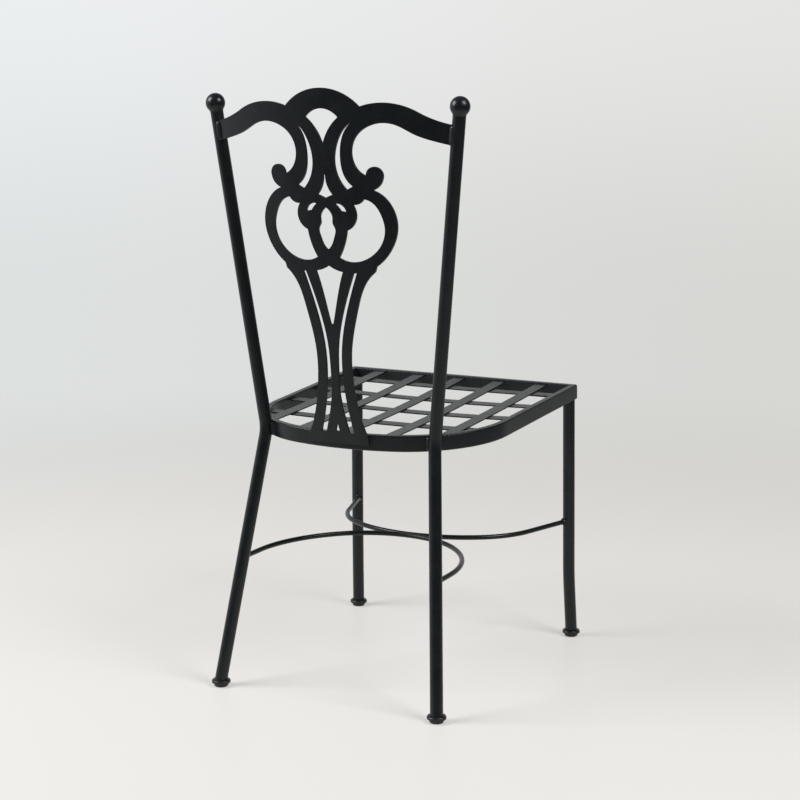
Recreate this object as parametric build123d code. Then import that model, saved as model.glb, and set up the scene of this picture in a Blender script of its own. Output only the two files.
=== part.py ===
from build123d import *
import math
import os

# Sizes in millimetres and degrees, +Z up, the front of the chair toward -Y.
# Left and right are the sitter's: left is +X.

# Stance on the floor
FOOT_SPAN = 498.8  # front foot centre to rear foot centre
FRONT_FOOT_WIDTH = 414.0  # between the front foot centres
REAR_FOOT_WIDTH = 379.2  # between the rear foot centres

# Round tube of the legs and back posts
TUBE_D = 20.0
TUBE_WALL = 1.5
BORE_SIDES = 8  # facets of the bore

# Front leg, cranked outward at a low knee
LEG_INSET = 11.4  # leg axis inside the rim's two outer faces at the front corner
KNEE_HEIGHT = 110.0
KNEE_TUCK_X = 3.0  # knee inside the foot, sideways
KNEE_TUCK_Y = 7.3  # knee behind the foot

# Back post and rear leg, one tube bent where it passes the seat rim
BALL_WIDTH = 411.4  # between the two finial ball centres
BALL_DROP = 25.6  # ball centres below the top of the arch
POST_LEAN = 4.74  # lean of the post to the rear
POST_BEND_R = 80.0
POST_PLACE = 53.5  # angle round the rim's corner arc where the post is welded
POST_BITE = 0.8  # post let into the rim's outer face

BALL_D = 30.0

# Foot glide
GLIDE_FLANGE_D = 30.0
GLIDE_FLANGE_T = 5.5
GLIDE_EDGE = 2.0  # chamfer round the flange's top
GLIDE_BASE_D = 22.4
GLIDE_BASE_H = 6.0
GLIDE_FOOT_EDGE = 1.4  # chamfer round the base where it meets the floor
GLIDE_STEM_L = 18.0
GLIDE_SIDES = 16  # facets round a glide
STEM_FIT = 0.2  # clearance round the stem inside the tube

# Seat rim of rectangular tube, its top plane falling to the rear
SEAT_HEIGHT = 440.3  # top of the rim at its front edge
SEAT_FALL = 2.86
RIM_SETBACK = 3.4  # rim's front face behind the front foot centres
RIM_WIDTH = 426.0  # across the front
RIM_DEPTH = 448.3  # front face to the rear of the bow
RIM_TAPER = 1.0  # each side rail turns in toward the rear
CORNER_R = 161.7  # rear corners, outer face
BOW_R = 360.6  # rear bow, outer face
FRONT_CORNER_R = 3.0
RIM_H = 25.0
RIM_W = 12.0
RIM_WALL = 1.5
RIM_EDGE = 1.8  # chamfer of the long edges

# Woven flat straps of the seat
STRAP_W = 20.0
STRAP_T = 2.0
STRAP_DROP = 2.0  # strap tops below the rim's top at their ends
LENGTHWISE_COUNT = 5
LENGTHWISE_EDGE = 61.0  # outer straps inside the rim's front corners
CROSS_COUNT = 4
CROSS_FIRST = 72.0  # first cross strap behind the rim's front face
CROSS_LAST = 112.3  # last cross strap ahead of the rear of the bow
SEAT_DISH = 4.4  # middle of the seat below its edge
STRAP_SEAT = 0.3  # cross straps pressed up against the lengthwise straps

# Stretcher rods
ROD_D = 7.5
ROD_SIDES = 8  # facets round a rod
ROD_HEIGHT = 204.0
ROD_MEET_Y = -34.0  # where the two rods lie side by side
ROD_GAP = 0.3  # between the two rods at the middle
FRONT_ROD_BOW_R = 213.0
FRONT_ROD_SIDE_R = 132.2
FRONT_ROD_SHOULDER = 32.4  # angle swept by half of the bow
FRONT_ROD_OFFSET = 4.0  # rod axis inside the leg axis where it is welded on
REAR_ROD_BOW_R = 151.9
REAR_ROD_SIDE_R = 210.3
REAR_ROD_SHOULDER = 45.9

# Back plate, bowed to the rear, cut from one sheet
BACK_HEIGHT = 940.0  # floor to the top of the arch
SPLAT_T = 4.0
SPLAT_LEAN = 5.57
SPLAT_BITE = 0.5  # plate pressed onto the rim's rear face
SPLAT_LAP = 16.0  # foot of the plate below the rim's top edge
RAIL_BEHIND = 6.7  # plate's middle behind the post axis at the rail ends

# Outline of the plate's head: distance from the centre line, height above the arch centre
ARCH_R = 83.0
ARCH_NOTCH = (61.5, 56.3)
RAIL_CREST = (98.0, 62.5)
RAIL_SHOULDER = (148.0, 49.1)
RAIL_END_TOP = 30.0
RAIL_END_BOTTOM = 0.5
RAIL_UNDERSIDE = (
    (170.0, 7.5),
    (140.0, 18.0),
    (120.0, 28.5),
    (100.0, 33.0),
    (54.0, 12.0),
    (46.5, -11.0),
    (54.0, -34.0),
)
CURL_NOTCH = (67.5, -43.6)
CURL_TOP = (81.0, -30.3)
CURL_SIDE = (94.0, -43.3)
CURL_UNDER = (89.5, -56.5)
RING_NOTCH = (78.0, -65.0)
RING_SIDE = ((100.0, -81.0), (112.0, -116.0), (102.0, -151.5))
RING_FOOT = (77.5, -178.5)
STEM_HEAD = (75.0, -186.5)

# Holes of the head, in the same measures
FAN_TOP = 53.0
FAN_CORNER = (27.0, 40.5)
FAN_SIDE = (10.0, 22.0)
FAN_TIP = 0.0
SCROLL_TIP = (47.5, 33.0)
SCROLL_OUTER = ((35.0, 17.5), (28.0, -15.0), (35.0, -48.5))
SCROLL_HEEL = (46.0, -60.0)
SCROLL_TOE = (36.0, -65.2)
SCROLL_INNER = ((18.3, -22.0), (25.0, 6.5), (40.0, 28.0))
DROP_TIP = -42.0
DROP_NECK = (1.5, -44.5)
DROP_SIDE = (3.5, -58.0)
DROP_CORNER = (12.3, -73.2)
DROP_BASE = (6.0, -75.5)
DROP_FOOT = -78.4
LEAF_TIP = (15.7, -86.7)
LEAF_BACK = (26.5, -88.3)
LEAF_CORNER = (33.5, -98.2)
LEAF_HEEL = (24.5, -96.8)
LEAF_BELLY = (20.0, -91.0)
WING_NOTCH = (62.5, -78.5)
WING_OUTER = ((79.0, -86.5), (90.0, -106.0), (93.0, -120.0), (85.0, -148.0), (42.0, -172.8))
WING_TOE = (18.3, -167.0)
WING_LIMB = (28.0, -146.5)
WING_ELBOW = (33.0, -126.2)
WING_BALL = (49.0, -107.5)
WING_CHIN = (44.7, -87.5)
WING_LOBE = (55.0, -85.5)
VESICA_TOP = -92.3
VESICA_SIDE = ((5.0, -96.3), (10.3, -107.0), (10.2, -116.0), (14.0, -124.0), (12.0, -136.0), (6.5, -149.0))
VESICA_FOOT = -155.7

# Stem of the plate: half width, height above its foot on a stem as tall as STEM_DRAWN
STEM_DRAWN = 268.6
STEM_SIDE = ((60.0, 252.5), (43.0, 208.1), (30.0, 148.0), (33.0, 73.1), (40.0, 40.0))
STEM_TOE = (51.0, 11.0)
STEM_FOOT_X = 52.0
VEE_CUSP = 275.6
VEE_BROW = (10.0, 270.2)
VEE_CORNER = (22.8, 266.7)
VEE_SIDE = ((12.0, 229.1), (5.0, 197.9))
VEE_NECK = (2.5, 187.5)
VEE_FOOT = 184.8
SLIT_HEAD = 265.6
SLIT_HEAD_X = (40.5, 45.5)
SLIT_INNER = ((23.5, 218.1), (8.0, 148.0), (6.5, 113.1), (7.0, 78.2), (13.2, 43.0))
SLIT_OUTER = ((29.5, 218.1), (14.5, 148.0), (16.3, 78.2))
SLIT_FOOT = 18.0
SLIT_FOOT_X = (19.7, 28.2)
KEY_TIP = 34.1
KEY_BASE = 19.9
KEY_HALF = 3.5

# Weld beads
BEAD_SIDES = 6  # facets round a bead
POST_BEAD_R = 3.2
POST_BEAD_SPREAD = 7.0  # bead beside the line where post and rim touch
POST_BEAD_LIFT = 2.2  # bead off the rim's face
POST_BEAD_INSET = 4.5  # bead short of the rim's top and bottom
RAIL_BEAD = (5.0, 3.3)  # half width and half thickness
RAIL_BEAD_INSET = 2.5  # bead short of the rail's edges
FOOT_BEAD_R = 2.5
FOOT_BEAD_INSET = 1.5  # bead short of the rim's chamfer and of the plate's lower edge
ROD_BEAD_R = 6.0
ROD_BEAD_L = 5.0
ROD_BEAD_TAPER = 16.0
CROSS_BEAD_R = 4.6
CROSS_BEAD_L = 16.0

# Places worked out from the sizes above
GLIDE_H = GLIDE_BASE_H + GLIDE_FLANGE_T
TUBE_R = TUBE_D / 2
SEAT = Plane(
    origin=(0, RIM_SETBACK - FOOT_SPAN / 2, SEAT_HEIGHT),
    x_dir=(1, 0, 0),
    z_dir=(0, math.sin(math.radians(SEAT_FALL)), math.cos(math.radians(SEAT_FALL))),
)
BALL_HEIGHT = BACK_HEIGHT - BALL_DROP
CROWN_Z = BACK_HEIGHT - ARCH_R
RAIL_MID_Z = CROWN_Z + (RAIL_END_TOP + RAIL_END_BOTTOM) / 2
STRAP_PITCH = (RIM_WIDTH - 2 * LENGTHWISE_EDGE) / (LENGTHWISE_COUNT - 1)
CROSS_PITCH = (RIM_DEPTH - CROSS_FIRST - CROSS_LAST) / (CROSS_COUNT - 1)
LENGTHWISE_X = [STRAP_PITCH * i + LENGTHWISE_EDGE - RIM_WIDTH / 2 for i in range(LENGTHWISE_COUNT)]
CROSS_V = [CROSS_FIRST + CROSS_PITCH * i for i in range(CROSS_COUNT)]


def seat_point(x, v, w):
    """Point x across the seat, v behind the rim's front face, w above the rim's top plane."""
    return SEAT.from_local_coords(Vector(x, v, w))


def turned(angle):
    """Unit vector in the XY plane at an angle in degrees from +X."""
    return Vector(math.cos(math.radians(angle)), math.sin(math.radians(angle)))


def other_side(shape):
    """The same piece on the right of the chair."""
    return mirror(shape, about=Plane.YZ)


def flipped(point):
    """Point mirrored across the centre line of an outline."""
    return Vector(-point.X, point.Y)


def fitted(shape, *neighbours):
    """Piece cut back to the faces of the pieces that it meets."""
    for piece in neighbours:
        shape -= piece
    return shape


# Round bar and tube


def bent_path(start, corner, end, radius):
    """Two straight runs joined by the chord of the bend between them."""
    back = (start - corner).normalized()
    ahead = (end - corner).normalized()
    reach = radius * math.tan(math.radians(180 - back.get_angle(ahead)) / 2)
    return Polyline(start, corner + back * reach, corner + ahead * reach, end)


def along(path, section):
    """Section swept along a path, mitred at its corners."""
    start = Plane(origin=path @ 0, z_dir=path % 0)
    return sweep(start * section, path=path, transition=Transition.RIGHT)


def bar(path, radius):
    """Round bar along a path."""
    return along(path, Circle(radius))


def bore(path):
    """Hollow of a leg tube along a path."""
    return along(path, RegularPolygon(TUBE_R - TUBE_WALL, BORE_SIDES, major_radius=False))


# Seat rim


def corner_centre():
    """Centre of the rim's rear corner arc, tangent to the side rail and inside the rear bow."""
    side_out = turned(RIM_TAPER)
    side_along = turned(90 + RIM_TAPER)
    start = Vector(RIM_WIDTH / 2, 0) - side_out * CORNER_R
    gap = start - Vector(0, RIM_DEPTH - BOW_R)
    run = gap.dot(side_along)
    reach = math.sqrt(run**2 - gap.dot(gap) + (BOW_R - CORNER_R) ** 2) - run
    return start + side_along * reach


def rim_plan(inset):
    """Plan of the rim's outer edge moved in by inset."""
    taper = math.radians(RIM_TAPER)
    corner = corner_centre()
    bow = Vector(0, RIM_DEPTH - BOW_R)
    run = inset * (1 + math.sin(taper)) / math.cos(taper)
    front = Vector(RIM_WIDTH / 2 - run * math.sin(taper) - inset * math.cos(taper), inset)
    side_end = corner + turned(RIM_TAPER) * (CORNER_R - inset)
    bow_turn = (corner - bow).normalized()
    bow_end = bow + bow_turn * (BOW_R - inset)
    half_turn = (turned(RIM_TAPER) + bow_turn).normalized()
    corner_mid = corner + half_turn * (CORNER_R - inset)
    side = Line(front, side_end) + ThreePointArc(side_end, corner_mid, bow_end)
    rear = ThreePointArc(bow_end, (0, RIM_DEPTH - inset), flipped(bow_end))
    return make_face(Line(flipped(front), front) + side + rear + other_side(side))


def rounded_plan(inset):
    """The same plan with the rounded front corners of the rim's outer face."""
    return fillet(rim_plan(inset).vertices().group_by(Axis.Y)[0], FRONT_CORNER_R - inset)


def rim_block():
    """Everything inside the rim's outer faces, as deep as the rim."""
    return extrude(rounded_plan(0), -RIM_H)


def seat_well():
    """Everything inside the rim's inner faces, as deep as the rim."""
    return extrude(rim_plan(RIM_W), -RIM_H)


def rim_tube():
    """Closed loop of hollow rectangular tube."""
    loop = rim_block() - seat_well()
    levels = loop.edges().group_by(Axis.Z)
    loop = chamfer(levels[0] + levels[-1], RIM_EDGE)
    hollow = extrude(rounded_plan(RIM_WALL) - rim_plan(RIM_W - RIM_WALL), 2 * RIM_WALL - RIM_H)
    return loop - Pos(0, 0, -RIM_WALL) * hollow


def mitre_zone():
    """Space of the rim's front bar, bounded by the mitres at the front corners."""
    half = RIM_WIDTH / 2
    corners = [Vector(half + RIM_W, -RIM_W), Vector(half - 2 * RIM_W, 2 * RIM_W)]
    outline = Polyline(corners + [flipped(corners[1]), flipped(corners[0])], close=True)
    return extrude(make_face(outline), RIM_H, both=True)


def rim_parts(posts):
    """Front bar and bent bow of the rim, the bow let in where the posts touch it."""
    loop = rim_tube()
    zone = mitre_zone()
    return SEAT * (loop & zone), fitted(SEAT * (loop - zone), *posts)


# Seat straps


def dish(from_middle, length):
    """Depth of the seat's hollow at a distance from the middle of its width or depth."""
    return SEAT_DISH * (1 - (2 * from_middle / length) ** 2)


def strap_face(length, level, sag):
    """Edge view of a strap that sags in an arc below the level of its ends."""
    top = ThreePointArc((-length / 2, level), (0, level - sag), (length / 2, level))
    bottom = Pos(0, -STRAP_T) * top
    return make_face(top + Line(top @ 1, bottom @ 1) + bottom + Line(bottom @ 0, top @ 0))


def lengthwise_strap(x, well):
    """Strap from the front bar to the rear of the rim."""
    face = strap_face(RIM_DEPTH, -STRAP_DROP, dish(x, RIM_WIDTH))
    return extrude(Plane.YZ.offset(x) * Pos(RIM_DEPTH / 2, 0) * face, STRAP_W / 2, both=True) & well


def cross_strap(v, well, lengthwise):
    """Strap from side to side under the lengthwise straps, seated against them."""
    level = STRAP_SEAT - STRAP_DROP - STRAP_T
    face = strap_face(RIM_WIDTH, level, dish(v - RIM_DEPTH / 2, RIM_DEPTH))
    return fitted(extrude(Plane.XZ.offset(-v) * face, STRAP_W / 2, both=True) & well, *lengthwise)


# Legs, posts and what closes their ends


def front_foot():
    """Where the left front leg's axis meets its glide."""
    return Vector(FRONT_FOOT_WIDTH / 2, -FOOT_SPAN / 2, GLIDE_H)


def rear_foot():
    """Where the left rear leg's axis meets its glide."""
    return Vector(REAR_FOOT_WIDTH / 2, FOOT_SPAN / 2, GLIDE_H)


def knee():
    """Bend point of the left front leg."""
    return front_foot() + Vector(-KNEE_TUCK_X, KNEE_TUCK_Y, KNEE_HEIGHT - GLIDE_H)


def leg_head():
    """Where the left front leg's axis meets the rim's underside."""
    return seat_point(RIM_WIDTH / 2 - LEG_INSET, LEG_INSET, -RIM_H)


def past(end, before):
    """Point beyond the end of a run, so that the bar can be trimmed."""
    return end + (end - before).normalized() * TUBE_D


def leg_path():
    """Axis of the left front leg, running past both of its ends."""
    return Polyline(past(leg_head(), knee()), knee(), past(front_foot(), knee()))


def trim_foot(shape):
    """Leg cut level on top of its glide."""
    return split(shape, bisect_by=Plane.XY.offset(GLIDE_H), keep=Keep.TOP)


def trim_head(shape):
    """Leg cut to the rim's underside."""
    return split(shape, bisect_by=SEAT.offset(-RIM_H), keep=Keep.BOTTOM)


def post_bend():
    """Bend point of the left post, whose tube touches the rim's corner where it comes closest to it."""
    plan_out = turned(POST_PLACE)
    face = corner_centre() + plan_out * CORNER_R
    contact = seat_point(face.X, face.Y, -RIM_H / 2)
    out = seat_point(face.X + plan_out.X, face.Y + plan_out.Y, -RIM_H / 2) - contact
    rise = BALL_HEIGHT - contact.Z
    up = Vector(BALL_WIDTH / 2 - contact.X, rise * math.tan(math.radians(POST_LEAN)), rise)
    down = rear_foot() - contact
    half_turn = math.radians(180 - up.get_angle(down)) / 2
    reach = POST_BEND_R * math.tan(half_turn)
    closest = reach * min(run.normalized().dot(out) for run in (up, down))
    return contact + out * (TUBE_R - POST_BITE - closest)


def ball_centre():
    """Centre of the left finial ball, at the top of the post's axis."""
    bend = post_bend()
    rise = BALL_HEIGHT - bend.Z
    return Vector(BALL_WIDTH / 2, bend.Y + rise * math.tan(math.radians(POST_LEAN)), BALL_HEIGHT)


def post_path(drop):
    """Axis of the left post from a drop below the ball's centre to below the top of its glide."""
    bend = post_bend()
    top = ball_centre() - (ball_centre() - bend).normalized() * drop
    return bent_path(top, bend, past(rear_foot(), bend), POST_BEND_R)


def post_at(height):
    """Point on the left post's straight upper axis at a height."""
    bend = post_bend()
    run = ball_centre() - bend
    return bend + run * ((height - bend.Z) / run.Z)


def back_post(post):
    """Left post and rear leg in one tube, closed at the top by the ball that is welded on it."""
    ball = Pos(*ball_centre()) * Sphere(BALL_D / 2)
    return post + ball - bore(post_path(BALL_D / 2))


def glide(foot, above):
    """Flanged glide with a chamfered base and a stem that follows the leg's bore."""
    base = extrude(RegularPolygon(GLIDE_BASE_D / 2, GLIDE_SIDES), GLIDE_BASE_H)
    base = chamfer(base.edges().group_by(Axis.Z)[0], GLIDE_FOOT_EDGE)
    level = Plane.XY.offset(GLIDE_BASE_H)
    flange = extrude(level * RegularPolygon(GLIDE_FLANGE_D / 2, GLIDE_SIDES), GLIDE_FLANGE_T)
    flange = chamfer(flange.edges().group_by(Axis.Z)[-1], GLIDE_EDGE)
    up = (above - foot).normalized()
    root = Plane(origin=foot - up * (GLIDE_FLANGE_T / 2), z_dir=up)
    section = RegularPolygon(TUBE_R - TUBE_WALL - STEM_FIT, BORE_SIDES)
    stem = extrude(root * section, GLIDE_STEM_L + GLIDE_FLANGE_T / 2)
    return Pos(foot.X, foot.Y) * (base + flange) + stem


# Stretcher rods


def rod_points(end, apex, bow_r, side_r, shoulder, facing):
    """Left half of a bowed rod's axis: end, start and middle of the side arc, start of the bow, apex.

    The side arc is tangent to the bow and to the straight end; facing is +1 when the bow points +Y.
    """
    bow = Vector(0, apex * facing - bow_r)
    aim = turned(90 - shoulder)
    side = bow + aim * (bow_r - side_r)
    tail = Vector(end.X, end.Y * facing)
    reach = tail - side
    leave = math.degrees(math.atan2(reach.Y, reach.X) + math.acos(side_r / reach.length))
    middle = (leave + 90 - shoulder) / 2
    arc_start = side + turned(leave) * side_r
    arc_middle = side + turned(middle) * side_r
    points = [tail, arc_start, arc_middle, bow + aim * bow_r, bow + Vector(0, bow_r)]
    return [Vector(point.X, point.Y * facing, end.Z) for point in points]


def rod(points):
    """Rod of one piece along a half axis and its mirror image."""
    tail, arc_start, arc_middle, joint, apex = points
    arm = Line(tail, arc_start) + ThreePointArc(arc_start, arc_middle, joint)
    bow = ThreePointArc(joint, apex, Vector(-joint.X, joint.Y, joint.Z))
    axis = Wire(arm.edges() + bow.edges() + other_side(arm).edges())
    return along(axis, RegularPolygon(ROD_D / 2, ROD_SIDES))


def leg_at(top, bottom):
    """Point at the rods' height on a leg's axis between two of its points."""
    run = bottom - top
    return top + run * ((ROD_HEIGHT - top.Z) / run.Z)


def front_rod_points():
    """Axis of the front rod, which ends beside the axis of the front leg."""
    end = leg_at(leg_head(), knee()) - Vector(FRONT_ROD_OFFSET, 0, 0)
    apex = ROD_MEET_Y - (ROD_D + ROD_GAP) / 2
    return rod_points(end, apex, FRONT_ROD_BOW_R, FRONT_ROD_SIDE_R, FRONT_ROD_SHOULDER, 1)


def rear_rod_points():
    """Axis of the rear rod, which ends on the axis of the rear leg."""
    end = leg_at(post_bend(), rear_foot())
    apex = ROD_MEET_Y + (ROD_D + ROD_GAP) / 2
    return rod_points(end, apex, REAR_ROD_BOW_R, REAR_ROD_SIDE_R, REAR_ROD_SHOULDER, -1)


# Back plate


def head(point):
    """Outline point measured from the arch centre."""
    return Vector(point[0], CROWN_Z + point[1])


def splat_foot_z():
    """Height of the plate's lower edge."""
    return seat_point(0, RIM_DEPTH, 0).Z - SPLAT_LAP


def stem(point):
    """Outline point measured from the plate's foot, stretched to the stem's height."""
    foot = splat_foot_z()
    return Vector(point[0], foot + point[1] * (head(STEM_HEAD).Y - foot) / STEM_DRAWN)


def whole(half):
    """Face bounded by a half outline and its mirror image."""
    return make_face(half + other_side(half))


def pair(outline):
    """Face bounded by an outline, and its mirror image."""
    face = make_face(outline)
    return face + other_side(face)


def splat_outline():
    """Outer edge of the plate: arch, rails, curls, ring and stem."""
    top = head((0, RAIL_END_TOP))
    bottom = head((0, RAIL_END_BOTTOM))
    notch = head(ARCH_NOTCH)
    shoulder = head(RAIL_SHOULDER)
    rail_top = Vector(post_at(top.Y).X, top.Y)
    rail_bottom = Vector(post_at(bottom.Y).X, bottom.Y)
    crest = ThreePointArc(notch, head(RAIL_CREST), shoulder)
    half = crest + TangentArc(shoulder, rail_top, tangent=crest % 1) + Line(rail_top, rail_bottom)
    half += Spline(rail_bottom, *[head(p) for p in RAIL_UNDERSIDE], head(CURL_NOTCH))
    half += ThreePointArc(head(CURL_NOTCH), head(CURL_TOP), head(CURL_SIDE))
    half += Spline(head(CURL_SIDE), head(CURL_UNDER), head(RING_NOTCH))
    half += Spline(head(RING_NOTCH), *[head(p) for p in RING_SIDE], head(RING_FOOT))
    half += Line(head(RING_FOOT), head(STEM_HEAD))
    half += Spline(head(STEM_HEAD), *[stem(p) for p in STEM_SIDE], stem(STEM_TOE))
    half += Polyline(stem(STEM_TOE), stem((STEM_FOOT_X, 0)), stem((0, 0)))
    arch = ThreePointArc(flipped(notch), head((0, ARCH_R)), notch)
    return make_face(arch + half + other_side(half))


def fan_hole():
    """Fan-shaped hole under the arch."""
    corner = head(FAN_CORNER)
    half = TangentArc(head((0, FAN_TOP)), corner, tangent=(1, 0))
    return whole(half + ThreePointArc(corner, head(FAN_SIDE), head((0, FAN_TIP))))


def scroll_slits():
    """Crescent slits beside the fan and the drop."""
    outer = Spline(head(SCROLL_TIP), *[head(p) for p in SCROLL_OUTER], head(SCROLL_HEEL))
    inner = Spline(head(SCROLL_TOE), *[head(p) for p in SCROLL_INNER], head(SCROLL_TIP))
    return pair(outer + Line(head(SCROLL_HEEL), head(SCROLL_TOE)) + inner)


def drop_hole():
    """Bell-shaped hole with a slender tip."""
    half = Line(head((0, DROP_TIP)), head(DROP_NECK))
    half += Spline(head(DROP_NECK), head(DROP_SIDE), head(DROP_CORNER))
    half += ThreePointArc(head(DROP_CORNER), head(DROP_BASE), head((0, DROP_FOOT)))
    return whole(half)


def leaf_holes():
    """Curved leaf holes under the drop."""
    outline = ThreePointArc(head(LEAF_TIP), head(LEAF_BACK), head(LEAF_CORNER))
    outline += Line(head(LEAF_CORNER), head(LEAF_HEEL))
    return pair(outline + ThreePointArc(head(LEAF_HEEL), head(LEAF_BELLY), head(LEAF_TIP)))


def wing_holes():
    """Large holes inside the ring, round the two scroll balls."""
    outline = Spline(head(WING_NOTCH), *[head(p) for p in WING_OUTER], head(WING_TOE))
    outline += ThreePointArc(head(WING_TOE), head(WING_LIMB), head(WING_ELBOW))
    outline += ThreePointArc(head(WING_ELBOW), head(WING_BALL), head(WING_CHIN))
    return pair(outline + ThreePointArc(head(WING_CHIN), head(WING_LOBE), head(WING_NOTCH)))


def vesica_hole():
    """Pointed hole on the centre line of the ring."""
    return whole(Spline(head((0, VESICA_TOP)), *[head(p) for p in VESICA_SIDE], head((0, VESICA_FOOT))))


def vee_hole():
    """Long tapering hole at the top of the stem."""
    half = ThreePointArc(stem((0, VEE_CUSP)), stem(VEE_BROW), stem(VEE_CORNER))
    half += Spline(stem(VEE_CORNER), *[stem(p) for p in VEE_SIDE], stem(VEE_NECK))
    return whole(half + Line(stem(VEE_NECK), stem((0, VEE_FOOT))))


def stem_slits():
    """Long slits that follow the stem's edges."""
    heads = [stem((x, SLIT_HEAD)) for x in SLIT_HEAD_X]
    feet = [stem((x, SLIT_FOOT)) for x in SLIT_FOOT_X]
    inner = Spline(heads[0], *[stem(p) for p in SLIT_INNER], feet[0])
    outer = Spline(heads[1], *[stem(p) for p in SLIT_OUTER], feet[1])
    return pair(inner + Line(feet[0], feet[1]) + outer + Line(heads[1], heads[0]))


def key_hole():
    """Small triangular hole just above the rim."""
    base = stem((KEY_HALF, KEY_BASE))
    return make_face(Polyline(stem((0, KEY_TIP)), base, flipped(base), close=True))


def splat_sheet():
    """Rolled sheet that the plate is cut from, through the rim's rear face and the rail ends."""
    lean = math.radians(SPLAT_LEAN)
    seat = seat_point(0, RIM_DEPTH, -RIM_H / 2) + Vector(0, SPLAT_T / 2 - SPLAT_BITE, 0)
    post = post_at(RAIL_MID_Z)
    bulge = seat.Y + (post.Z - seat.Z) * math.tan(lean) - post.Y - RAIL_BEHIND
    reach = post.X - math.sqrt(TUBE_R**2 - RAIL_BEHIND**2)
    roll_r = (reach**2 + bulge**2) / (2 * bulge)
    axis = seat - Vector(0, math.cos(lean), -math.sin(lean)) * roll_r
    shell = Cylinder(roll_r + SPLAT_T / 2, 2 * BACK_HEIGHT) - Cylinder(roll_r - SPLAT_T / 2, 2 * BACK_HEIGHT)
    return Plane(origin=axis, x_dir=(1, 0, 0), z_dir=(0, math.sin(lean), math.cos(lean))) * shell


def splat_blank():
    """Pierced and rolled plate before its rails and foot are fitted."""
    face = splat_outline()
    for hole in (
        fan_hole(),
        scroll_slits(),
        drop_hole(),
        leaf_holes(),
        wing_holes(),
        vesica_hole(),
        vee_hole(),
        stem_slits(),
        key_hole(),
    ):
        face -= hole
    return extrude(Plane.XZ * face, FOOT_SPAN, both=True) & splat_sheet()


# Weld beads


def bead(start, end, radius):
    """Run of weld between two points."""
    run = end - start
    return extrude(Plane(origin=start, z_dir=run) * RegularPolygon(radius, BEAD_SIDES), run.length)


def both_sides(*shapes):
    """Left pieces and their right copies in one node."""
    left = [solid for shape in shapes for solid in shape.solids()]
    return Compound(children=left + [other_side(solid) for solid in left])


def post_welds(post, rim):
    """Two upright beads between each post and the rim."""
    face = corner_centre() + turned(POST_PLACE) * (CORNER_R + POST_BEAD_LIFT)
    side = turned(POST_PLACE + 90) * POST_BEAD_SPREAD
    welds = []
    for place in (face + side, face - side):
        low = seat_point(place.X, place.Y, POST_BEAD_INSET - RIM_H)
        high = seat_point(place.X, place.Y, -POST_BEAD_INSET)
        welds.append(fitted(bead(low, high, POST_BEAD_R), post, rim))
    return both_sides(*welds)


def rail_welds(post, plate):
    """Flat beads over both faces of the plate where its rails meet the posts."""
    middle = post_at(RAIL_MID_Z)
    up = (ball_centre() - post_bend()).normalized()
    inward = math.sqrt(TUBE_R**2 - RAIL_BEHIND**2)
    joint = middle + Vector(-inward, RAIL_BEHIND, 0)
    turn = turned(-math.degrees(math.asin(RAIL_BEHIND / TUBE_R)))
    length = RAIL_END_TOP - RAIL_END_BOTTOM - 2 * RAIL_BEAD_INSET
    flat = Plane(origin=joint - up * (length / 2), x_dir=turn, z_dir=up)
    return both_sides(fitted(extrude(flat * Ellipse(*RAIL_BEAD), length), post, plate))


def splat_welds(plate, rim):
    """Beads up both edges of the plate's foot."""
    depth = RIM_DEPTH - BOW_R + math.sqrt(BOW_R**2 - STEM_FOOT_X**2)
    low = seat_point(STEM_FOOT_X, depth, FOOT_BEAD_INSET - SPLAT_LAP)
    high = seat_point(STEM_FOOT_X, depth, -RIM_EDGE - FOOT_BEAD_INSET)
    return both_sides(fitted(bead(low, high, FOOT_BEAD_R), plate, rim))


def rod_weld(points, axis, rod_piece, leg):
    """Tapered collar of weld round a rod where it leaves a leg."""
    away = (points[1] - points[0]).normalized()
    offset = points[0] - axis
    back = offset.dot(away)
    leaves = math.sqrt(TUBE_R**2 - offset.dot(offset) + back**2) - back
    base = Plane(origin=points[0] + away * (leaves - ROD_BEAD_L), z_dir=away)
    collar = extrude(base * RegularPolygon(ROD_BEAD_R, ROD_SIDES), 2 * ROD_BEAD_L, taper=ROD_BEAD_TAPER)
    return fitted(collar, rod_piece, leg)


def cross_weld(front_rod, rear_rod):
    """Bead above and below the line where the two rods meet."""
    middle = Vector(0, ROD_MEET_Y, ROD_HEIGHT)
    half = Vector(CROSS_BEAD_L / 2, 0, 0)
    return fitted(bead(middle - half, middle + half, CROSS_BEAD_R), front_rod, rear_rod)


def rod_welds(front_rod, rear_rod, leg, post):
    """Collars at both ends of both rods."""
    front = rod_weld(front_rod_points(), leg_at(leg_head(), knee()), front_rod, leg)
    rear = rod_weld(rear_rod_points(), leg_at(post_bend(), rear_foot()), rear_rod, post)
    return both_sides(front, rear)


def seat_nodes():
    """Lattice straps of the seat, named from the sitter's right and from the front."""
    well = seat_well()
    lengthwise = [lengthwise_strap(x, well) for x in LENGTHWISE_X]
    nodes = {f"seat_strap_{i}": SEAT * strap for i, strap in enumerate(lengthwise, 1)}
    for i, v in enumerate(CROSS_V, 1):
        nodes[f"seat_cross_strap_{i}"] = SEAT * cross_strap(v, well, lengthwise)
    return nodes


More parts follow.
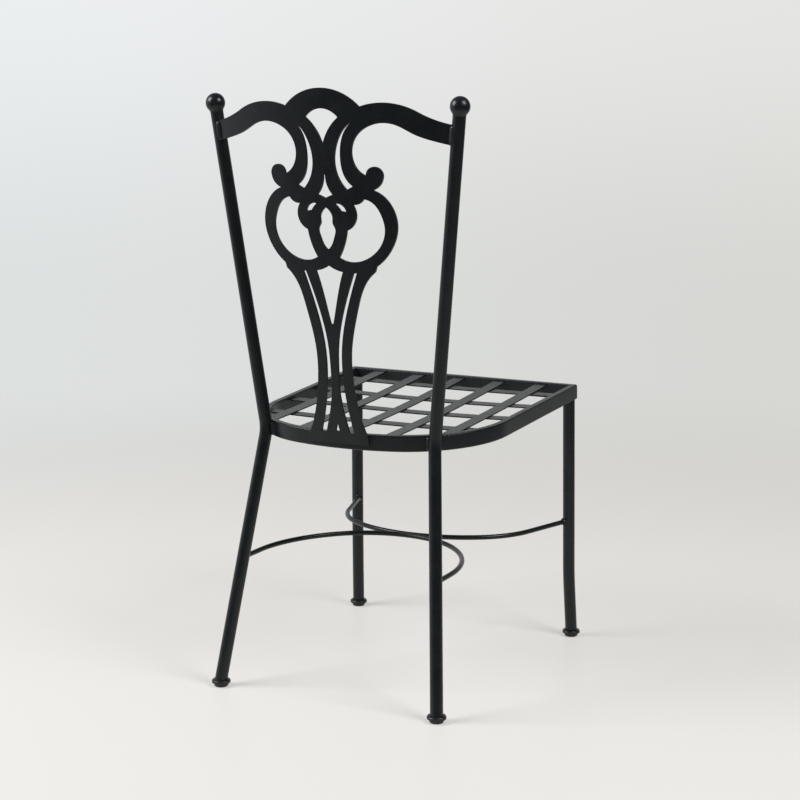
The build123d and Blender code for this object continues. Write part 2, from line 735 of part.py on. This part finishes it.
def chair():
    """Every piece of the chair by name."""
    post_bar = trim_foot(bar(post_path(0), TUBE_R))
    posts = [post_bar, other_side(post_bar)]
    leg_bar = trim_head(trim_foot(bar(leg_path(), TUBE_R)))
    legs = [leg_bar, other_side(leg_bar)]
    rim_front, rim_bow = rim_parts(posts)
    rim = SEAT * rim_block()
    plate = splat_blank()
    front_rod = rod(front_rod_points())
    rear_rod = rod(rear_rod_points())
    pairs = {
        "front_leg": leg_bar - bore(leg_path()),
        "back_post": back_post(post_bar),
        "front_glide": glide(front_foot(), knee()),
        "rear_glide": glide(rear_foot(), post_bend()),
    }
    nodes = {}
    for name, piece in pairs.items():
        nodes[f"{name}_left"] = piece
        nodes[f"{name}_right"] = other_side(piece)
    nodes["seat_rim_front"] = rim_front
    nodes["seat_rim_bow"] = rim_bow
    nodes.update(seat_nodes())
    nodes["back_plate"] = fitted(plate, *posts, rim)
    nodes["front_stretcher"] = fitted(front_rod, *legs)
    nodes["rear_stretcher"] = fitted(rear_rod, *posts)
    nodes["post_welds"] = post_welds(post_bar, rim)
    nodes["rail_welds"] = rail_welds(post_bar, plate)
    nodes["plate_foot_welds"] = splat_welds(plate, rim)
    nodes["stretcher_welds"] = rod_welds(front_rod, rear_rod, leg_bar, post_bar)
    nodes["stretcher_cross_weld"] = cross_weld(front_rod, rear_rod)
    return nodes


os.makedirs("parts", exist_ok=True)
for node, piece in chair().items():
    export_step(piece, f"parts/{node}.step")
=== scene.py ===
import cmath
import math

import bpy
import numpy as np
from mathutils import Matrix, Vector


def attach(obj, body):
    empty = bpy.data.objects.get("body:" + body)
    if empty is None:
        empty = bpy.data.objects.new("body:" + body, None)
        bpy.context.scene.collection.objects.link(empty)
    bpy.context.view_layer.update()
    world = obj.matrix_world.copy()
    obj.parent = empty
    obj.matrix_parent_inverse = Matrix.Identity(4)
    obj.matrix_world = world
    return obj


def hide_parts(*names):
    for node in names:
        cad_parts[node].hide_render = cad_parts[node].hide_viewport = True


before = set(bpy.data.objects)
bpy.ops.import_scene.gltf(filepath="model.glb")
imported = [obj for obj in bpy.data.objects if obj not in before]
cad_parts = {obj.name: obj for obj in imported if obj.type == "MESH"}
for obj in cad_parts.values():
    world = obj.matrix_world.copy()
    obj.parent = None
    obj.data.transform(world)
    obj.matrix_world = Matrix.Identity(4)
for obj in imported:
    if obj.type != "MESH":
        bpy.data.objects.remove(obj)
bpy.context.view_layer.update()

# Camera of the photograph, in degrees and metres
AZIMUTH = 206.72
ELEVATION = 10.33
CAMERA_AT = (-1.3943, 2.7648, 1.0004)
LENS_MM = 87.54
SENSOR_MM = 36.0

# Satin black powder coat, with its lengths in metres
COAT = {
    "dark": (0.0058, 0.0078, 0.0092),
    "pale": (0.0090, 0.0114, 0.0132),
    "ior": 1.36,
    "roughness": (0.24, 0.32),
    "cloud": 0.035,  # width of one patch of slightly different colour
    "grain": 0.0011,  # width of one bump of the sprayed finish
    "bump": 0.000012,  # height of the bumps
    "edge": 0.0006,  # rounding of the edges
}

# The same coat on the tube of the rim and over the ripples of a weld bead
RIM_COAT = {**COAT, "edge": 0.0013}
WELD_COAT = {**COAT, "roughness": (0.30, 0.42), "grain": 0.0045, "bump": 0.00003}

# Moulded black plastic of the glides
PLASTIC = {
    "dark": (0.0060, 0.0062, 0.0066),
    "pale": (0.0120, 0.0124, 0.0130),
    "ior": 1.45,
    "roughness": (0.26, 0.38),
    "cloud": 0.010,
    "grain": 0.0006,
    "bump": 0.00002,
    "edge": 0.0004,
}

# Noise in the finishes
NOISE_SPAN = (0.3, 0.7)  # where most of its values lie
COLOUR_DETAIL = 3
GLOSS_DETAIL = 4
GRAIN_DETAIL = 2
GLOSS_PATCHES = 3  # patches of gloss across one patch of colour

# Colour sockets of a mix node
MIX_FIRST = 6
MIX_SECOND = 7
MIX_RESULT = 2

# Pale floor, which fades into the backdrop
FLOOR_HALF = 7.0  # half of the sheet's width
FLOOR_FADE = (0.8, 2.8)  # distance from the chair where the fade starts and ends
FLOOR_COLOUR = (0.82, 0.80, 0.77)
FLOOR_ROUGHNESS = 0.40
FLOOR_GLOW = 0.5  # share of the floor that shows its own colour, whatever light falls on it

# Backdrop, by the height and the sideways lean of the direction in which it is seen
BACKDROP_LOW = (0.705, 0.715, 0.705)
BACKDROP_HIGH = (0.815, 0.82, 0.82)
BACKDROP_SPAN = (-0.13, 0.035)
SIDE_AXIS = (-0.893, -0.450, 0.0)  # to the photograph's right
SIDE_SPAN = (-0.2, 0.2)
# Painted light and shade: the backdrop is lighter and a little cooler on the left, the key lamp's side, and
# darker and warmer on the right
LEFT_TINT_AND_LIGHT = (1.03, 1.05, 1.06)
RIGHT_TINT_AND_SHADE = (0.965, 0.955, 0.935)

# The same backdrop in reflections: dim behind the camera and overhead
ROOM_AXIS = (0.83, -0.56, 0.0)  # from the dim side of the room to the bright one
ROOM_SPAN = (-0.2, 0.7)
ROOM_DIM = 0.10
CEILING_SPAN = (0.04, 0.5)
CEILING_DIM = 0.38

# Lamps, in metres and watts, and the even light from all round
KEY_LAMP = {"place": (2.0, 1.5, 2.3), "aim": (0, 0, 0.5), "size": 1.6, "watts": 100}
FILL_LAMP = {"place": (-2.05, 0.45, 2.45), "aim": (0, 0, 0.6), "size": 1.25, "watts": 62}
AMBIENT = 0.10

# Edges shallower than this are shaded round
SMOOTH_ANGLE = math.radians(47)
MEETING_DIGITS = 6  # vertices meet where their places agree to a micrometre

# Axes of the left post and the left front leg, in metres: foot, bend and top
TUBE_R = 0.010
TUBE_SIDES = 40
POST_ROUTE = ((0.1896, 0.2494, 0.0115), (0.14712, 0.17013, 0.4070), (0.2057, 0.2122, 0.9144))
POST_BEND_R = 0.080
LEG_ROUTE = ((0.2070, -0.2494, 0.0115), (0.2040, -0.2421, 0.1100), (0.2016, -0.23586, 0.41476))
LEG_BEND_R = 0.8
GLIDE_TOP = ((0, 0, 0.0115), (0, 0, 1))  # point and normal of the plane
RIM_UNDERSIDE = ((0, -0.24725, 0.41533), (0, 0.0499, 0.9988))
BALL_R = 0.015
NECK_R = 0.007  # hollow of the weld between ball and post

# Stretcher rods, each with its left half in plan
ROD_R = 0.0040
ROD_SIDES = 24
ROD_HEIGHT = 0.204
ROD_SHORT = 0.007  # end of a rod inside the leg, from the leg's axis
FRONT_ROD = {
    "leg": LEG_ROUTE[1:],  # stretch of the leg that the rod ends in
    "inset": 0.004,  # rod's end inside the leg's axis, sideways
    "apex": -0.0379,  # middle of the bow
    "bow_r": 0.2130,
    "side_r": 0.1322,
    "shoulder": 32.4,  # degrees swept by half of the bow
    "facing": 1,  # the bow points to the rear
}
REAR_ROD = {
    "leg": POST_ROUTE[:2],
    "inset": 0.0,
    "apex": -0.0301,
    "bow_r": 0.1519,
    "side_r": 0.2103,
    "shoulder": 45.9,
    "facing": -1,  # the bow points to the front
}

# Weld beads of the left half: start, end, wide axis of the section, half width and half thickness
BEADS = {
    "post_welds": (
        ((0.1348, 0.16938, 0.3964), (0.1348, 0.17044, 0.4176), (0.917, 0.384, 0), 0.0056, 0.0026),
        ((0.1517, 0.15818, 0.3968), (0.1517, 0.15924, 0.4180), (0, 1, 0), 0.0056, 0.0026),
    ),
    "rail_welds": (
        ((0.1940, 0.21639, 0.8578), (0.19732, 0.21878, 0.8866), (0.993, 0.118, 0), 0.0052, 0.0021),
        ((0.18996, 0.21182, 0.8589), (0.19304, 0.21404, 0.8856), (0.7, 0.7, 0), 0.0027, 0.0027),
    ),
    "plate_foot_welds": (
        ((0.0520, 0.19725, 0.4031), (0.0520, 0.19781, 0.4153), (1, 0, 0), 0.0027, 0.0025),
    ),
}
CROSS_BEAD = ((-0.009, -0.034, 0.204), (0.009, -0.034, 0.204), (0, 0, 1), 0.0037, 0.0034)
BEAD_SIDES = 20
BEAD_RIPPLE = 0.0026  # from one ripple of a bead to the next
RIPPLE_DEPTH = 0.035  # share of the section's width
BEAD_FULLNESS = 6  # how blunt the ends of a bead are
BEAD_TIP = 0.03  # least share of the section's area at an end
COLLAR_R = 0.0066  # collar of weld round a rod's end
COLLAR_L = 0.0065
COLLAR_REACH = 0.0145  # from the leg's axis to the collar's thin end

# Steps along the round bars and beads
BEND_STEPS = 24
NECK_STEPS = 6
BALL_STEPS = 24
ARC_STEPS = 28
RIPPLE_STEPS = 8
COLLAR_STEPS = 20


# Finishes


def node_tree(name):
    """New material with an empty tree and an output."""
    material = bpy.data.materials.new(name)
    material.use_nodes = True
    tree = material.node_tree
    tree.nodes.clear()
    return material, tree, tree.nodes.new("ShaderNodeOutputMaterial")


def noise(tree, width, detail):
    """Noise whose patches are about this wide, in metres."""
    place = tree.nodes.new("ShaderNodeTexCoord")
    texture = tree.nodes.new("ShaderNodeTexNoise")
    texture.inputs["Scale"].default_value = 1 / width
    texture.inputs["Detail"].default_value = detail
    tree.links.new(place.outputs["Object"], texture.inputs["Vector"])
    return texture.outputs["Fac"]


def spread(tree, value, low, high):
    """Noise brought to the range from low to high."""
    scale = tree.nodes.new("ShaderNodeMapRange")
    scale.inputs["From Min"].default_value = NOISE_SPAN[0]
    scale.inputs["From Max"].default_value = NOISE_SPAN[1]
    scale.inputs["To Min"].default_value = low
    scale.inputs["To Max"].default_value = high
    tree.links.new(value, scale.inputs["Value"])
    return scale.outputs["Result"]


def blend(tree, value, first, second):
    """Colour that runs from first to second with a value."""
    mix = tree.nodes.new("ShaderNodeMix")
    mix.data_type = "RGBA"
    mix.inputs[MIX_FIRST].default_value = (*first, 1)
    mix.inputs[MIX_SECOND].default_value = (*second, 1)
    tree.links.new(value, mix.inputs["Factor"])
    return mix.outputs[MIX_RESULT]


def finish_material(name, dark, pale, ior, roughness, cloud, grain, bump, edge):
    """Dark finish with cloudy gloss, a fine surface grain and edges that catch the light."""
    material, tree, output = node_tree(name)
    shader = tree.nodes.new("ShaderNodeBsdfPrincipled")
    shader.inputs["IOR"].default_value = ior
    patches = spread(tree, noise(tree, cloud, COLOUR_DETAIL), 0, 1)
    tree.links.new(blend(tree, patches, dark, pale), shader.inputs["Base Color"])
    gloss = spread(tree, noise(tree, cloud / GLOSS_PATCHES, GLOSS_DETAIL), *roughness)
    tree.links.new(gloss, shader.inputs["Roughness"])
    rounding = tree.nodes.new("ShaderNodeBevel")
    rounding.inputs["Radius"].default_value = edge
    bumps = tree.nodes.new("ShaderNodeBump")
    bumps.inputs["Strength"].default_value = 1
    bumps.inputs["Distance"].default_value = bump
    tree.links.new(noise(tree, grain, GRAIN_DETAIL), bumps.inputs["Height"])
    tree.links.new(rounding.outputs["Normal"], bumps.inputs["Normal"])
    tree.links.new(bumps.outputs["Normal"], shader.inputs["Normal"])
    tree.links.new(shader.outputs["BSDF"], output.inputs["Surface"])
    return material


# Shading of the CAD nodes


def face_labels(mesh):
    """One label for each vertex, the same for all the vertices of one CAD face."""
    ends = np.empty(2 * len(mesh.edges), int)
    mesh.edges.foreach_get("vertices", ends)
    first, last = ends.reshape(-1, 2).T
    labels = np.arange(len(mesh.vertices))
    while (labels[first] != labels[last]).any():
        low = np.minimum(labels[first], labels[last])
        np.minimum.at(labels, first, low)
        np.minimum.at(labels, last, low)
        labels = labels[labels]
    return labels


def soften(mesh):
    """Shading that runs round over the shallow edges of a mesh and leaves its large faces flat."""
    corners = np.empty(len(mesh.loops), int)
    mesh.loops.foreach_get("vertex_index", corners)
    normals = np.empty((len(mesh.vertices), 3))
    normals[corners] = [corner.vector for corner in mesh.corner_normals]
    labels = face_labels(mesh)
    area = np.zeros(len(labels))
    for polygon in mesh.polygons:
        area[labels[polygon.vertices[0]]] += polygon.area
    weights = area[labels] ** 2
    meeting = {}
    for vertex in mesh.vertices:
        meeting.setdefault(vertex.co.to_tuple(MEETING_DIGITS), []).append(vertex.index)
    smooth = normals.copy()
    for group in meeting.values():
        near = normals[group] @ normals[group].T > math.cos(SMOOTH_ANGLE)
        smooth[group] = near @ (normals[group] * weights[group, None])
    smooth /= np.linalg.norm(smooth, axis=1)[:, None]
    mesh.polygons.foreach_set("use_smooth", [True] * len(mesh.polygons))
    mesh.normals_split_custom_set(smooth[corners])


# Round bars and beads, each as a list of rings


def sweep(points, sections, sides, across):
    """Rings of an oval section, as half width and half thickness, along points; across is the wide axis."""
    turns = [2 * math.pi * k / sides for k in range(sides)]
    rings = []
    across = Vector(across)
    for i, (point, (wide, thick)) in enumerate(zip(points, sections)):
        tangent = (points[min(i + 1, len(points) - 1)] - points[max(i - 1, 0)]).normalized()
        across = (across - tangent * across.dot(tangent)).normalized()
        beside = tangent.cross(across)
        ring = [across * (math.cos(turn) * wide) + beside * (math.sin(turn) * thick) for turn in turns]
        rings.append([point + offset for offset in ring])
    return rings


def round_bar(points, radii, sides, across):
    """Rings of a round bar along points."""
    return sweep(points, [(radius, radius) for radius in radii], sides, across)


def trim(rings, at, plane):
    """Slides the ring at an end along the bar to a plane."""
    origin, normal = Vector(plane[0]), Vector(plane[1])
    inner = rings[1] if at == 0 else rings[-2]
    for k, corner in enumerate(rings[at]):
        run = corner - inner[k]
        rings[at][k] = corner + run * ((origin - corner).dot(normal) / run.dot(normal))


def bent(route, radius):
    """Points from the first end to the second, round the bend between them."""
    start, corner, end = (Vector(point) for point in route)
    back, ahead = (start - corner).normalized(), (end - corner).normalized()
    half = (math.pi - back.angle(ahead)) / 2
    reach = radius * math.tan(half)
    centre = corner + (back + ahead).normalized() * (radius / math.cos(half))
    first = (corner + back * reach - centre).normalized()
    last = (corner + ahead * reach - centre).normalized()
    arc = [centre + first.slerp(last, i / BEND_STEPS) * radius for i in range(BEND_STEPS + 1)]
    return [start] + arc + [end]


def ball_profile():
    """Distance along the post from the ball's centre, and radius, from the neck up to the ball's top."""
    neck = TUBE_R + NECK_R
    reach = BALL_R + NECK_R
    low = math.sqrt(reach**2 - neck**2)
    hollow = math.atan2(low, neck)
    profile = []
    for i in range(NECK_STEPS + 1):
        turn = hollow * i / NECK_STEPS
        profile.append((NECK_R * math.sin(turn) - low, neck - NECK_R * math.cos(turn)))
    start = math.acos(low / reach)
    for i in range(1, BALL_STEPS + 1):
        turn = start + (math.pi - start) * i / (BALL_STEPS + 1)
        profile.append((-BALL_R * math.cos(turn), BALL_R * math.sin(turn)))
    return profile


def post_bar():
    """Left post and rear leg, with its ball."""
    points = bent(POST_ROUTE, POST_BEND_R)
    top = points.pop()
    up = (top - points[-1]).normalized()
    radii = [TUBE_R] * len(points)
    for height, radius in ball_profile():
        points.append(top + up * height)
        radii.append(radius)
    rings = round_bar(points, radii, TUBE_SIDES, (1, 0, 0))
    trim(rings, 0, GLIDE_TOP)
    return rings


def leg_bar():
    """Left front leg."""
    points = bent(LEG_ROUTE, LEG_BEND_R)
    rings = round_bar(points, [TUBE_R] * len(points), TUBE_SIDES, (1, 0, 0))
    trim(rings, 0, GLIDE_TOP)
    trim(rings, -1, RIM_UNDERSIDE)
    return rings


def plan_arc(centre, radius, first, last):
    """Points on an arc of the plan between two angles, as complex numbers."""
    turns = [first + (last - first) * i / ARC_STEPS for i in range(ARC_STEPS + 1)]
    return [centre + cmath.rect(radius, turn) for turn in turns]


def rod_plan(leg, inset, apex, bow_r, side_r, shoulder, facing):
    """Left half of a rod's axis in plan: a straight end, a side arc tangent to it, and half of the bow."""
    low, high = (Vector(point) for point in leg)
    weld = low.lerp(high, (ROD_HEIGHT - low.z) / (high.z - low.z))
    end = complex(weld.x - inset, weld.y * facing)
    bow = complex(0, apex * facing - bow_r)
    turn = math.radians(90 - shoulder)
    side = bow + cmath.rect(bow_r - side_r, turn)
    reach = end - side
    leave = cmath.phase(reach) + math.acos(side_r / abs(reach))
    half = [end] + plan_arc(side, side_r, leave, turn)[:-1] + plan_arc(bow, bow_r, turn, math.pi / 2)
    return [complex(point.real, point.imag * facing) for point in half]


def at_rod_height(point):
    """Point of the plan at the height of the rods."""
    return Vector((point.real, point.imag, ROD_HEIGHT))


def rod_bar(rod):
    """Bowed rod of one piece."""
    half = rod_plan(**rod)
    away = (half[1] - half[0]) / abs(half[1] - half[0])
    half[0] += away * ROD_SHORT
    plan = half[:-1] + [-point.conjugate() for point in reversed(half)]
    points = [at_rod_height(point) for point in plan]
    return round_bar(points, [ROD_R] * len(points), ROD_SIDES, (0, 0, 1))


def bead(start, end, across, wide, thick):
    """Rippled run of weld with round ends."""
    start, end = Vector(start), Vector(end)
    steps = round((end - start).length / BEAD_RIPPLE * RIPPLE_STEPS)
    points, sections = [], []
    for i in range(steps + 1):
        share = i / steps
        points.append(start.lerp(end, share))
        swell = 1 + RIPPLE_DEPTH * math.sin(2 * math.pi * i / RIPPLE_STEPS)
        swell *= math.sqrt(max(1 - abs(2 * share - 1) ** BEAD_FULLNESS, BEAD_TIP))
        sections.append((wide * swell, thick * swell))
    return sweep(points, sections, BEAD_SIDES, across)


def collar(rod):
    """Rippled cone of weld round the left end of a rod."""
    tail, arc_start = (at_rod_height(point) for point in rod_plan(**rod)[:2])
    away = (arc_start - tail).normalized()
    points, radii = [], []
    for i in range(COLLAR_STEPS + 1):
        share = i / COLLAR_STEPS
        points.append(tail + away * (COLLAR_REACH - COLLAR_L * (1 - share)))
        swell = 1 + RIPPLE_DEPTH / 2 * math.sin(2 * math.pi * share * COLLAR_L / BEAD_RIPPLE)
        radii.append((ROD_R + (COLLAR_R - ROD_R) * (1 - share) ** 2) * swell)
    return round_bar(points, radii, ROD_SIDES, (0, 0, 1))


# Pieces


def skin(bars):
    """Closed surface of each bar, as corners and faces."""
    corners, faces = [], []
    for rings in bars:
        sides = len(rings[0])
        first = len(corners)
        corners += [corner for ring in rings for corner in ring]
        for i in range(len(rings) - 1):
            low = first + i * sides
            for k in range(sides):
                turn = (k + 1) % sides
                faces.append((low + k, low + turn, low + turn + sides, low + k + sides))
        faces.append([first + k for k in reversed(range(sides))])
        last = len(corners) - sides
        faces.append([last + k for k in range(sides)])
    return corners, faces


def mirrored(bars):
    """The same bars on the other side of the chair, with their rings turned the other way round."""
    return [[[Vector((-c.x, c.y, c.z)) for c in reversed(ring)] for ring in rings] for rings in bars]


def add_piece(name, bars, material, *nodes):
    """Piece that stands for CAD nodes and rides on the chair."""
    mesh = bpy.data.meshes.new(name)
    corners, faces = skin(bars)
    mesh.from_pydata(corners, [], faces)
    mesh.materials.append(material)
    mesh.shade_smooth()
    mesh.set_sharp_from_angle(angle=SMOOTH_ANGLE)
    piece = bpy.data.objects.new(name, mesh)
    bpy.context.scene.collection.objects.link(piece)
    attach(piece, "root")
    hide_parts(*nodes)


def dress_nodes(coat):
    """Finish of every CAD node."""
    rim = finish_material("rim_coat", **RIM_COAT)
    plastic = finish_material("glide_plastic", **PLASTIC)
    for name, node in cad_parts.items():
        finish = coat
        if "glide" in name:
            finish = plastic
        elif "rim" in name:
            finish = rim
        node.data.materials.clear()
        node.data.materials.append(finish)
        soften(node.data)


def add_bars(coat):
    """Round posts, legs and rods in place of the faceted ones."""
    post, leg = [post_bar()], [leg_bar()]
    add_piece("bent_post_left", post, coat, "back_post_left")
    add_piece("bent_post_right", mirrored(post), coat, "back_post_right")
    add_piece("round_leg_left", leg, coat, "front_leg_left")
    add_piece("round_leg_right", mirrored(leg), coat, "front_leg_right")
    add_piece("front_rod", [rod_bar(FRONT_ROD)], coat, "front_stretcher")
    add_piece("rear_rod", [rod_bar(REAR_ROD)], coat, "rear_stretcher")


def add_welds():
    """Rippled beads and collars in place of the faceted ones."""
    weld = finish_material("weld_coat", **WELD_COAT)
    for name, runs in BEADS.items():
        left = [bead(*run) for run in runs]
        add_piece(f"{name}_beads", left + mirrored(left), weld, name)
    collars = [collar(FRONT_ROD), collar(REAR_ROD)]
    add_piece("stretcher_collars", collars + mirrored(collars), weld, "stretcher_welds")
    add_piece("stretcher_cross_bead", [bead(*CROSS_BEAD)], weld, "stretcher_cross_weld")


def dress():
    """Finishes, round bars and beads of the chair."""
    coat = finish_material("powder_coat", **COAT)
    dress_nodes(coat)
    add_bars(coat)
    add_welds()


# Studio


def ramp(tree, value, span, low=0, high=1):
    """Smooth step from low to high over a span of a value."""
    step = tree.nodes.new("ShaderNodeMapRange")
    step.interpolation_type = "SMOOTHSTEP"
    step.inputs["From Min"].default_value = span[0]
    step.inputs["From Max"].default_value = span[1]
    step.inputs["To Min"].default_value = low
    step.inputs["To Max"].default_value = high
    tree.links.new(value, step.inputs["Value"])
    return step.outputs["Result"]


def arithmetic(tree, operation, first, second):
    """Result of an operation on a value and another value or a number."""
    result = tree.nodes.new("ShaderNodeMath")
    result.operation = operation
    tree.links.new(first, result.inputs[0])
    if isinstance(second, float):
        result.inputs[1].default_value = second
    else:
        tree.links.new(second, result.inputs[1])
    return result.outputs["Value"]


def mixed(tree, share, first, second):
    """Shader that takes a share of the second one."""
    mix = tree.nodes.new("ShaderNodeMixShader")
    tree.links.new(share, mix.inputs["Fac"])
    tree.links.new(first, mix.inputs[1])
    tree.links.new(second, mix.inputs[2])
    return mix.outputs["Shader"]


def seeing_rays(tree):
    """1 for rays from the camera and for those that gloss or glass sends on, 0 for scattered light."""
    rays = tree.nodes.new("ShaderNodeLightPath")
    total = rays.outputs["Is Camera Ray"]
    for kind in ("Is Glossy Ray", "Is Transmission Ray"):
        total = arithmetic(tree, "MAXIMUM", total, rays.outputs[kind])
    return total


def floor_material():
    """Pale satin floor that fades away from the chair."""
    material, tree, output = node_tree("floor")
    shader = tree.nodes.new("ShaderNodeBsdfPrincipled")
    shader.inputs["Base Color"].default_value = (*FLOOR_COLOUR, 1)
    shader.inputs["Roughness"].default_value = FLOOR_ROUGHNESS
    glow = tree.nodes.new("ShaderNodeEmission")
    glow.inputs["Color"].default_value = (*FLOOR_COLOUR, 1)
    share = arithmetic(tree, "MULTIPLY", seeing_rays(tree), FLOOR_GLOW)
    lit = mixed(tree, share, shader.outputs["BSDF"], glow.outputs["Emission"])
    clear = tree.nodes.new("ShaderNodeBsdfTransparent")
    place = tree.nodes.new("ShaderNodeTexCoord")
    length = tree.nodes.new("ShaderNodeVectorMath")
    length.operation = "LENGTH"
    tree.links.new(place.outputs["Object"], length.inputs[0])
    fade = ramp(tree, length.outputs["Value"], FLOOR_FADE)
    tree.links.new(mixed(tree, fade, lit, clear.outputs["BSDF"]), output.inputs["Surface"])
    return material


def make_floor():
    """Large flat sheet under the chair."""
    half = FLOOR_HALF
    corners = [(-half, -half, 0), (half, -half, 0), (half, half, 0), (-half, half, 0)]
    mesh = bpy.data.meshes.new("floor")
    mesh.from_pydata(corners, [], [(0, 1, 2, 3)])
    floor = bpy.data.objects.new("floor", mesh)
    bpy.context.scene.collection.objects.link(floor)
    mesh.materials.append(floor_material())


def along(tree, place, axis):
    """Share of an axis in a direction."""
    dot = tree.nodes.new("ShaderNodeVectorMath")
    dot.operation = "DOT_PRODUCT"
    dot.inputs[1].default_value = axis
    tree.links.new(place, dot.inputs[0])
    return dot.outputs["Value"]


def backdrop(tree):
    """Pale colour of the studio as it is seen, with painted light on its left and painted shade on its
    right, and dimmer behind and overhead in reflections.
    """
    place = tree.nodes.new("ShaderNodeTexCoord").outputs["Generated"]
    height = along(tree, place, (0, 0, 1))
    colour = blend(tree, ramp(tree, height, BACKDROP_SPAN), BACKDROP_LOW, BACKDROP_HIGH)
    # Painted light and shade on the backdrop: lighter on the left, the key lamp's side, darker on the right
    towards_shaded_side = ramp(tree, along(tree, place, SIDE_AXIS), SIDE_SPAN)
    product = tree.nodes.new("ShaderNodeVectorMath")
    product.operation = "MULTIPLY"
    tree.links.new(colour, product.inputs[0])
    tree.links.new(blend(tree, towards_shaded_side, LEFT_TINT_AND_LIGHT, RIGHT_TINT_AND_SHADE), product.inputs[1])
    room = ramp(tree, along(tree, place, ROOM_AXIS), ROOM_SPAN, ROOM_DIM, 1)
    ceiling = ramp(tree, height, CEILING_SPAN, 1, CEILING_DIM)
    level = arithmetic(tree, "MULTIPLY", room, ceiling)
    direct = tree.nodes.new("ShaderNodeLightPath").outputs["Is Camera Ray"]
    seen = tree.nodes.new("ShaderNodeBackground")
    tree.links.new(product.outputs["Vector"], seen.inputs["Color"])
    tree.links.new(arithmetic(tree, "MAXIMUM", level, direct), seen.inputs["Strength"])
    return seen.outputs["Background"]


def make_world():
    """Pale backdrop for what is seen, plain ambient light for the rest."""
    world = bpy.data.worlds.new("studio")
    bpy.context.scene.world = world
    world.use_nodes = True
    tree = world.node_tree
    tree.nodes.clear()
    output = tree.nodes.new("ShaderNodeOutputWorld")
    ambient = tree.nodes.new("ShaderNodeBackground")
    ambient.inputs["Color"].default_value = (1, 1, 1, 1)
    ambient.inputs["Strength"].default_value = AMBIENT
    studio = mixed(tree, seeing_rays(tree), ambient.outputs["Background"], backdrop(tree))
    tree.links.new(studio, output.inputs["Surface"])


def softbox(name, place, aim, size, watts):
    """Square area light at a place, facing a point."""
    light = bpy.data.lights.new(name, "AREA")
    light.size = size
    light.energy = watts
    lamp = bpy.data.objects.new(name, light)
    lamp.location = place
    lamp.rotation_euler = (Vector(aim) - Vector(place)).to_track_quat("-Z", "Y").to_euler()
    bpy.context.scene.collection.objects.link(lamp)


def make_lights():
    """Key light on the camera's left and a weaker one on its right."""
    softbox("key", **KEY_LAMP)
    softbox("fill", **FILL_LAMP)


def make_camera():
    """Camera at the photograph's place."""
    data = bpy.data.cameras.new("camera")
    data.sensor_width = SENSOR_MM
    data.lens = LENS_MM
    camera = bpy.data.objects.new("camera", data)
    turn = Matrix.Rotation(math.radians(AZIMUTH), 4, "Z")
    tip = Matrix.Rotation(math.radians(90 - ELEVATION), 4, "X")
    camera.matrix_world = Matrix.Translation(CAMERA_AT) @ turn @ tip
    bpy.context.scene.collection.objects.link(camera)
    bpy.context.scene.camera = camera


dress()
make_floor()
make_world()
make_lights()
make_camera()
bpy.context.scene.view_settings.view_transform = "Standard"
